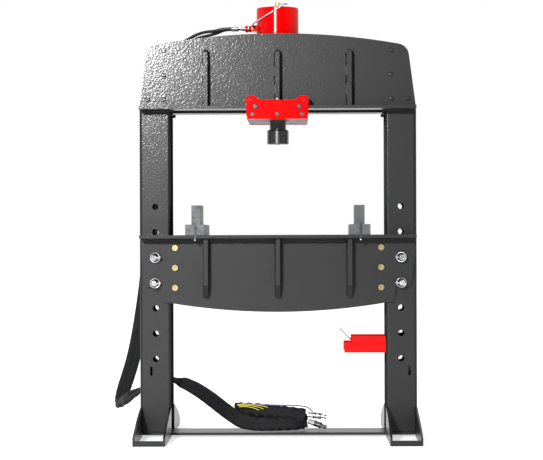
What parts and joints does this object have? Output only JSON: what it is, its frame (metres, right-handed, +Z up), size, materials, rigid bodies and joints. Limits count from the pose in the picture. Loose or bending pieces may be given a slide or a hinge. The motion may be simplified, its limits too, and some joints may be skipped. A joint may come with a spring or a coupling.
{
  "type": "hydraulic shop press",
  "caption": "Floor-standing H-frame hydraulic press with a rolling cylinder, a pinned height-adjustable table, press blocks and a sleeved hose set.",
  "frame": {"origin": "on the floor, midway between the columns and between the front and rear feet", "axes": "+X to the right seen from the front, +Y to the rear, +Z up"},
  "size_m": [1.4796, 1.08, 2.091],
  "materials": {
    "frame_paint": "semi-gloss",
    "red_paint": "gloss",
    "zinc_plate": "bright",
    "zinc_yellow": "satin",
    "chrome_steel": "polished",
    "bare_steel": "satin",
    "black_steel": "gloss",
    "hose_rubber": "satin",
    "sleeve_fabric": "woven",
    "cable_plastic": "satin",
    "seal_rubber": "matte"
  },
  "bodies": {
    "frame": {"column_left": "frame_paint", "column_right": "frame_paint", "beam_front_plate": "frame_paint", "beam_rear_plate": "frame_paint", "beam_flanges": "frame_paint", "beam_ribs": "frame_paint", "beam_bolts": "frame_paint", "table_front_plate": "frame_paint", "table_rear_plate": "frame_paint", "table_top_strips": "frame_paint", "table_ribs": "frame_paint", "table_spacers": "frame_paint", "table_bolts": "zinc_yellow", "foot_plates": "frame_paint", "foot_bars": "frame_paint", "base_cross_plate": "frame_paint", "accessory_shelf": "red_paint", "shelf_screws": "zinc_plate", "hose_hook": "frame_paint", "hoses": "hose_rubber", "sleeve_cuff": "sleeve_fabric", "hose_sleeve": "sleeve_fabric", "sleeve_coil": "sleeve_fabric", "quick_couplings": "zinc_plate", "control_cable": "cable_plastic"},
    "carriage": {"carriage_plates": "red_paint", "carriage_mount_plate": "bare_steel", "roller_axles": "red_paint", "lock_screws": "black_steel", "carriage_screws": "black_steel", "centre_marker": "zinc_plate", "cylinder_barrel": "red_paint", "ram_gland": "bare_steel", "ram_seal": "seal_rubber", "port_block": "red_paint", "port_adapters": "red_paint", "hose_ends": "zinc_plate", "return_pipe": "zinc_plate", "pipe_fittings": "zinc_yellow"},
    "ram": {"ram": "black_steel", "piston": "bare_steel", "pressure_piece": "black_steel"},
    "roller_front_left": {"roller_front_left": "bare_steel"},
    "roller_front_right": {"roller_front_right": "bare_steel"},
    "roller_rear_left": {"roller_rear_left": "bare_steel"},
    "roller_rear_right": {"roller_rear_right": "bare_steel"},
    "support_pin_upper_left": {"support_pin_upper_left": "chrome_steel"},
    "lynch_ring_upper_left": {"lynch_ring_upper_left": "zinc_plate"},
    "support_pin_upper_right": {"support_pin_upper_right": "chrome_steel"},
    "lynch_ring_upper_right": {"lynch_ring_upper_right": "zinc_plate"},
    "support_pin_lower_left": {"support_pin_lower_left": "chrome_steel"},
    "lynch_ring_lower_left": {"lynch_ring_lower_left": "zinc_plate"},
    "support_pin_lower_right": {"support_pin_lower_right": "chrome_steel"},
    "lynch_ring_lower_right": {"lynch_ring_lower_right": "zinc_plate"},
    "press_block_left": {"press_block_left": "bare_steel", "press_bar_left": "bare_steel", "block_locators_left": "black_steel"},
    "press_block_right": {"press_block_right": "bare_steel", "press_bar_right": "bare_steel", "block_locators_right": "black_steel"}
  },
  "joints": [
    {"name": "carriage_slide", "type": "slide", "parent": "frame", "child": "carriage", "axis": [1, 0, 0], "range_m": [-0.15, 0.15], "deforming": ["hoses"]},
    {"name": "ram_slide", "type": "slide", "parent": "carriage", "child": "ram", "axis": [0, 0, -1], "range_m": [0, 0.3]},
    {"name": "roller_front_left_turn", "type": "hinge", "parent": "carriage", "child": "roller_front_left", "pos_m": [-0.1265, -0.217, 1.6063], "axis": [0, 1, 0], "range_deg": [-370, 370]},
    {"name": "roller_front_right_turn", "type": "hinge", "parent": "carriage", "child": "roller_front_right", "pos_m": [0.1265, -0.217, 1.6063], "axis": [0, 1, 0], "range_deg": [-370, 370]},
    {"name": "roller_rear_left_turn", "type": "hinge", "parent": "carriage", "child": "roller_rear_left", "pos_m": [-0.1265, 0.217, 1.6063], "axis": [0, 1, 0], "range_deg": [-370, 370]},
    {"name": "roller_rear_right_turn", "type": "hinge", "parent": "carriage", "child": "roller_rear_right", "pos_m": [0.1265, 0.217, 1.6063], "axis": [0, 1, 0], "range_deg": [-370, 370]},
    {"name": "support_pin_upper_left_slide", "type": "slide", "parent": "frame", "child": "support_pin_upper_left", "axis": [0, -1, 0], "range_m": [0, 0.3]},
    {"name": "lynch_ring_upper_left_swing", "type": "hinge", "parent": "support_pin_upper_left", "child": "lynch_ring_upper_left", "pos_m": [-0.566, -0.159, 0.861], "axis": [0, 0, 1], "range_deg": [0, 100]},
    {"name": "support_pin_upper_right_slide", "type": "slide", "parent": "frame", "child": "support_pin_upper_right", "axis": [0, -1, 0], "range_m": [0, 0.3]},
    {"name": "lynch_ring_upper_right_swing", "type": "hinge", "parent": "support_pin_upper_right", "child": "lynch_ring_upper_right", "pos_m": [0.566, -0.159, 0.861], "axis": [0, 0, -1], "range_deg": [0, 100]},
    {"name": "support_pin_lower_left_slide", "type": "slide", "parent": "frame", "child": "support_pin_lower_left", "axis": [0, -1, 0], "range_m": [0, 0.3]},
    {"name": "lynch_ring_lower_left_swing", "type": "hinge", "parent": "support_pin_lower_left", "child": "lynch_ring_lower_left", "pos_m": [-0.566, -0.159, 0.739], "axis": [0, 0, 1], "range_deg": [0, 100]},
    {"name": "support_pin_lower_right_slide", "type": "slide", "parent": "frame", "child": "support_pin_lower_right", "axis": [0, -1, 0], "range_m": [0, 0.3]},
    {"name": "lynch_ring_lower_right_swing", "type": "hinge", "parent": "support_pin_lower_right", "child": "lynch_ring_lower_right", "pos_m": [0.566, -0.159, 0.739], "axis": [0, 0, -1], "range_deg": [0, 100]},
    {"name": "block_lift_left", "type": "slide", "parent": "frame", "child": "press_block_left", "axis": [0, 0, 1], "range_m": [0, 0.12]},
    {"name": "block_lift_right", "type": "slide", "parent": "frame", "child": "press_block_right", "axis": [0, 0, 1], "range_m": [0, 0.12]}
  ],
  "couplings": [
    {"joint": "roller_front_left_turn", "follows": "carriage_slide", "rad_per_m": 41.667},
    {"joint": "roller_front_right_turn", "follows": "carriage_slide", "rad_per_m": 41.667},
    {"joint": "roller_rear_left_turn", "follows": "carriage_slide", "rad_per_m": 41.667},
    {"joint": "roller_rear_right_turn", "follows": "carriage_slide", "rad_per_m": 41.667}
  ]
}
